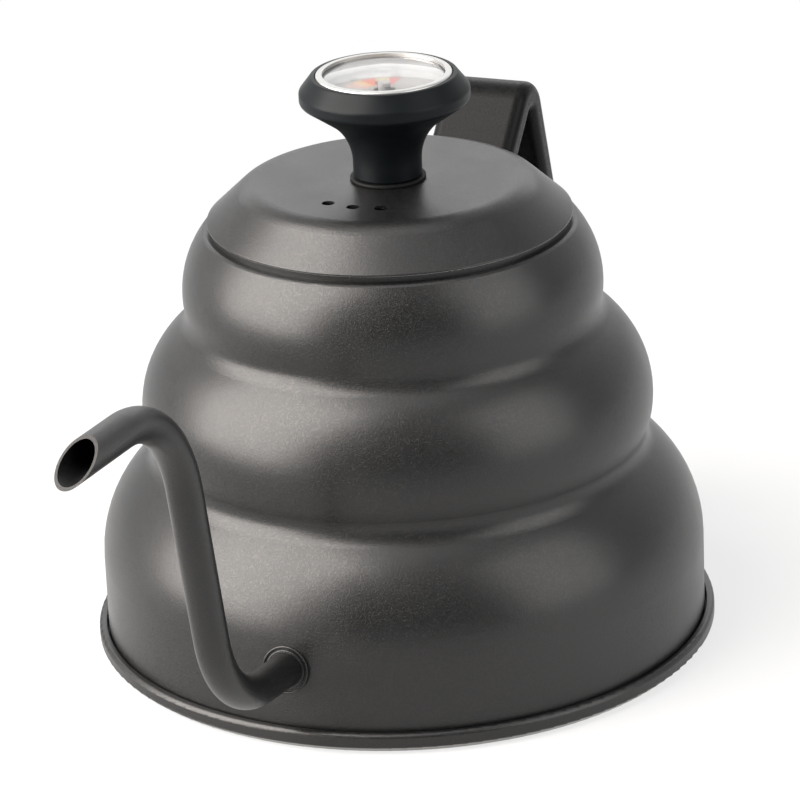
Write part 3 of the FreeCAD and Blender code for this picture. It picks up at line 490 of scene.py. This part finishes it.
DIAL_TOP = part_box("dial_face")[1].z
PRINT_THICKNESS = 0.04 * MILLIMETRE
BAND_INNER = 4.0 * MILLIMETRE
BAND_OUTER = 9.0 * MILLIMETRE
BAND_STEP_ANGLE = 2.0
BAND_FEWEST_STEPS = 2
MERGE_DISTANCE = 0.001 * MILLIMETRE
TICK_INNER = 11.6 * MILLIMETRE
TICK_OUTER = 13.3 * MILLIMETRE
SHORT_TICK_INNER = 12.365 * MILLIMETRE
TICK_WIDTH = 0.22 * MILLIMETRE
LONG_TICK_WIDTH = 0.33 * MILLIMETRE
RIM_LINE_WIDTH = 0.25 * MILLIMETRE
NUMBER_RADIUS = 10.3 * MILLIMETRE
NUMBER_SIZE = 2.0 * MILLIMETRE
QUARTER_TURN = math.radians(90)

# The scale in degrees Celsius, and how it is spread over the dial in degrees of angle
SCALE_END = 100
TICK_STEP = 2
LONG_TICK_STEP = 10
NUMBER_STEP = 20
ZERO_ANGLE = 99.0
ANGLE_PER_DEGREE = 2.7

INK_BLACK = (0.03, 0.03, 0.03)
# Name, coolest and hottest temperature, colour of the ink
DIAL_BANDS = (
    ("mild", 68.0, 76.0, (0.62, 0.42, 0.38)),
    ("warm", 76.0, 82.0, (0.66, 0.44, 0.22)),
    ("hot", 82.0, 90.0, (0.64, 0.13, 0.06)),
    ("hotter", 90.0, 98.0, (0.56, 0.50, 0.30)),
    ("boil", 98.0, 104.0, (0.60, 0.16, 0.15)),
)


def dial_angle(temperature):
    """Where a temperature stands on the dial, in degrees anticlockwise from the frame's X axis."""
    return ZERO_ANGLE - ANGLE_PER_DEGREE * temperature


def select_only(piece):
    bpy.ops.object.select_all(action="DESELECT")
    piece.select_set(True)
    bpy.context.view_layer.objects.active = piece


def settle(piece, material):
    """Puts the piece's place into its mesh and lets it ride with the lid."""
    select_only(piece)
    bpy.ops.object.transform_apply(location=True, rotation=True, scale=True)
    piece.data.materials.clear()
    piece.data.materials.append(material)
    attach(piece, "lid_assembly")


def flat_sheet(middle, size, rotation=(0, 0, 0)):
    """A plane with its place and size in its mesh, to be shaped further."""
    bpy.ops.object.select_all(action="DESELECT")
    bpy.ops.mesh.primitive_plane_add(size=1.0, location=middle, rotation=rotation)
    sheet = bpy.context.active_object
    sheet.scale = (*size, 1.0)
    select_only(sheet)
    bpy.ops.object.transform_apply(location=True, rotation=True, scale=True)
    return sheet


def turn_on_dial(piece, angle):
    """Turns the piece about the dial's axis and puts the turn into its mesh."""
    piece.rotation_euler.z = math.radians(angle)
    bpy.ops.object.transform_apply(location=False, rotation=True, scale=False)


def printed_band(name, inner, outer, from_angle, to_angle, material):
    """A band of ink round part of the dial: its cross-section is spun about the dial's axis."""
    middle = ((inner + outer) / 2, 0, DIAL_TOP + PRINT_THICKNESS / 2)
    band = flat_sheet(middle, (outer - inner, PRINT_THICKNESS), (QUARTER_TURN, 0, 0))
    band.name = name
    turn_on_dial(band, from_angle)
    sweep = to_angle - from_angle
    steps = max(BAND_FEWEST_STEPS, round(sweep / BAND_STEP_ANGLE))
    bpy.ops.object.mode_set(mode="EDIT")
    bpy.ops.mesh.select_all(action="SELECT")
    bpy.ops.mesh.spin(steps=steps, angle=math.radians(sweep), center=(0, 0, DIAL_TOP), axis=(0, 0, -1))
    bpy.ops.mesh.select_all(action="SELECT")
    bpy.ops.mesh.remove_doubles(threshold=MERGE_DISTANCE)
    bpy.ops.mesh.normals_make_consistent(inside=False)
    bpy.ops.object.mode_set(mode="OBJECT")
    settle(band, material)


def tick_stroke(inner, width):
    """One stroke of the scale, along the frame's X axis."""
    middle = ((inner + TICK_OUTER) / 2, 0, DIAL_TOP + PRINT_THICKNESS)
    stroke = flat_sheet(middle, (TICK_OUTER - inner, width))
    bpy.ops.object.mode_set(mode="EDIT")
    bpy.ops.mesh.select_all(action="SELECT")
    bpy.ops.mesh.extrude_region_move(TRANSFORM_OT_translate={"value": (0, 0, PRINT_THICKNESS / 2)})
    bpy.ops.mesh.select_all(action="SELECT")
    bpy.ops.mesh.normals_make_consistent(inside=False)
    bpy.ops.object.mode_set(mode="OBJECT")
    return stroke


def printed_ticks(material):
    """A long and a short stroke are modelled once and copied to the marks of the scale."""
    long_stroke = tick_stroke(TICK_INNER, LONG_TICK_WIDTH)
    short_stroke = tick_stroke(SHORT_TICK_INNER, TICK_WIDTH)
    marks = []
    for temperature in range(0, SCALE_END + 1, TICK_STEP):
        select_only(short_stroke if temperature % LONG_TICK_STEP else long_stroke)
        bpy.ops.object.duplicate(linked=False)
        mark = bpy.context.active_object
        turn_on_dial(mark, dial_angle(temperature))
        marks.append(mark)
    for stroke in (long_stroke, short_stroke):
        select_only(stroke)
        bpy.ops.object.delete()
    select_only(marks[0])
    for mark in marks:
        mark.select_set(True)
    bpy.ops.object.join()
    ticks = bpy.context.active_object
    ticks.name = "dial_ticks"
    settle(ticks, material)


def printed_numbers(material):
    """The numbers of the scale, with their tops pointing outwards."""
    for temperature in range(0, SCALE_END + 1, NUMBER_STEP):
        angle = math.radians(dial_angle(temperature))
        spot = (NUMBER_RADIUS * math.cos(angle), NUMBER_RADIUS * math.sin(angle), DIAL_TOP + PRINT_THICKNESS)
        bpy.ops.object.select_all(action="DESELECT")
        bpy.ops.object.text_add(location=spot)
        number = bpy.context.active_object
        number.name = f"dial_number_{temperature}"
        number.data.body = str(temperature)
        number.data.size = NUMBER_SIZE
        number.data.align_x = "CENTER"
        number.data.align_y = "CENTER"
        number.data.extrude = PRINT_THICKNESS / 4
        number.rotation_euler.z = angle - QUARTER_TURN
        select_only(number)
        bpy.ops.object.convert(target="MESH")
        settle(bpy.context.active_object, material)


dark_ink = printed_ink("ink_black", INK_BLACK)
for band_name, coolest, hottest, ink in DIAL_BANDS:
    printed_band(f"dial_band_{band_name}", BAND_INNER, BAND_OUTER, dial_angle(hottest), dial_angle(coolest),
                 printed_ink(f"ink_{band_name}", ink))
printed_band("dial_rim_line", TICK_OUTER, TICK_OUTER + RIM_LINE_WIDTH, dial_angle(SCALE_END), dial_angle(0),
             dark_ink)
printed_ticks(dark_ink)
printed_numbers(dark_ink)

# Studio: lengths in metres, angles in degrees to the right of the camera and up

KETTLE_MIDDLE = Vector((0.0, 0.0, 0.06))
FLOOR_RADIUS = 4.0
FLOOR_CORNERS = 96
FLOOR_COLOUR = (0.80, 0.80, 0.80)
# The floor glows less near the kettle, so that its shadow stays
FLOOR_NEAR_TO_FAR = (0.10, 0.34)
FLOOR_GLOW = (0.70, 1.0)
# Painted shade: for mirrored rays the floor's glow is turned down in front of the kettle, where the room is
# dark
FLOOR_DIM_SIDE = -22
FLOOR_DIM_SPAN = (0.2, 0.9)
FLOOR_PAINTED_SHADE = 0.36
# Directions are compared by their cosine: to the camera for the sweep's sides, upwards for the others
SWEEP_SIDES = (0.05, -0.60)
SWEEP_TOP = (0.95, 0.66)
OVERHEAD_PANEL = (0.86, 0.985)
SWEEP_WHITE = 1.0
ROOM_FRONT = 0.21
ROOM_OVERHEAD = 2.0
ROOM_AMBIENT = 0.38


def white_floor_paint():
    """Matt white; for rays from the camera, mirrored ones and those through the glass it also glows, with
    painted shade in front of the kettle for mirrored rays.
    """
    material = bpy.data.materials.new("floor_white")
    material.use_nodes = True
    paint = Wiring(material.node_tree)
    paint.tree.nodes.clear()
    place = paint.object_place()
    path = paint.add("ShaderNodeLightPath").outputs
    matt = paint.add("ShaderNodeBsdfDiffuse")
    paint.plug(matt.inputs["Color"], FLOOR_COLOUR)

    glow = paint.add("ShaderNodeEmission")
    # Painted shade: mirrored rays see the floor's glow turned down on the side in front of the kettle
    front = paint.facing(paint.unit(place), direction(FLOOR_DIM_SIDE, 0))
    painted_shade = paint.remap(front, FLOOR_DIM_SPAN, (0.0, FLOOR_PAINTED_SHADE), "SMOOTHSTEP")
    mirrored_painted_shade = paint.maths("MULTIPLY", painted_shade, path["Is Glossy Ray"])
    paint.link(paint.maths("SUBTRACT", 1.0, mirrored_painted_shade), glow.inputs["Strength"])

    share = paint.remap(paint.length(place), FLOOR_NEAR_TO_FAR, FLOOR_GLOW, "SMOOTHSTEP")
    seen = paint.maths("MAXIMUM", path["Is Camera Ray"], path["Is Glossy Ray"])
    seen = paint.maths("MAXIMUM", seen, path["Is Transmission Ray"])
    whiteness = paint.maths("MULTIPLY", seen, share)
    surface = paint.choose(whiteness, matt.outputs["BSDF"], glow.outputs["Emission"])
    paint.link(surface, paint.add("ShaderNodeOutputMaterial").inputs["Surface"])
    return material


def pale_floor():
    bpy.ops.object.select_all(action="DESELECT")
    bpy.ops.mesh.primitive_circle_add(vertices=FLOOR_CORNERS, radius=FLOOR_RADIUS, fill_type="NGON",
                                      location=(0, 0, 0))
    floor = bpy.context.active_object
    floor.name = "floor"
    floor.data.materials.append(white_floor_paint())


def studio_surround():
    """White sweep behind and low down, grey room in front, bright panel overhead; pale to the camera."""
    world = bpy.data.worlds.new("studio")
    bpy.context.scene.world = world
    world.use_nodes = True
    room = Wiring(world.node_tree)
    room.tree.nodes.clear()
    heading = room.add("ShaderNodeTexCoord").outputs["Generated"]
    height = room.facing(heading, UPWARDS)
    behind = room.remap(room.facing(heading, direction(0, 0)), SWEEP_SIDES, curve="SMOOTHSTEP")
    low_down = room.remap(height, SWEEP_TOP, curve="SMOOTHSTEP")
    walls = room.remap(height, OVERHEAD_PANEL, (ROOM_FRONT, ROOM_OVERHEAD), "SMOOTHSTEP")
    mirrored = room.between(room.maths("MULTIPLY", behind, low_down), walls, SWEEP_WHITE)
    path = room.add("ShaderNodeLightPath").outputs
    scattered = room.between(path["Is Glossy Ray"], ROOM_AMBIENT, mirrored)
    seen = room.maths("MAXIMUM", path["Is Camera Ray"], path["Is Transmission Ray"])
    background = room.add("ShaderNodeBackground")
    room.link(room.between(seen, scattered, SWEEP_WHITE), background.inputs["Strength"])
    room.link(background.outputs["Background"], room.add("ShaderNodeOutputWorld").inputs["Surface"])


def softbox(name, azimuth, elevation, distance, width, height, power, colour):
    """A rectangular lamp that faces the kettle."""
    lamp = bpy.data.lights.new(name, "AREA")
    lamp.shape = "RECTANGLE"
    lamp.size = width
    lamp.size_y = height
    lamp.energy = power
    lamp.color = colour
    holder = bpy.data.objects.new(name, lamp)
    holder.visible_camera = False
    bpy.context.scene.collection.objects.link(holder)
    aim = direction(azimuth, elevation)
    holder.location = KETTLE_MIDDLE + aim * distance
    holder.rotation_euler = aim.to_track_quat("Z", "Y").to_euler()


pale_floor()
studio_surround()
softbox("key_softbox", azimuth=-74, elevation=34, distance=1.0, width=1.12, height=1.44, power=45.0,
        colour=(1.0, 0.948, 0.905))
softbox("fill_softbox", azimuth=62, elevation=27, distance=1.0, width=0.72, height=1.0, power=5.4,
        colour=(1.0, 0.985, 0.97))
softbox("back_softbox", azimuth=180, elevation=24, distance=1.2, width=1.5, height=0.36, power=2.2,
        colour=(1.0, 1.0, 1.0))

# Camera

view = bpy.data.cameras.new("photo_view")
view.lens = VIEW_LENS
view.sensor_width = SENSOR_WIDTH
camera = bpy.data.objects.new("photo_view", view)
bpy.context.scene.collection.objects.link(camera)
around = math.radians(VIEW_AZIMUTH)
spot = Vector((VIEW_DISTANCE * math.cos(around), VIEW_DISTANCE * math.sin(around), VIEW_HEIGHT))
heading = Matrix.Rotation(math.radians(VIEW_AZIMUTH + 90 + VIEW_TURN), 4, "Z")
pitch = Matrix.Rotation(math.radians(90 - VIEW_PITCH), 4, "X")
roll = Matrix.Rotation(math.radians(VIEW_ROLL), 4, "Z")
camera.matrix_world = Matrix.Translation(spot) @ heading @ pitch @ roll
bpy.context.scene.camera = camera
bpy.context.scene.view_settings.view_transform = "Standard"
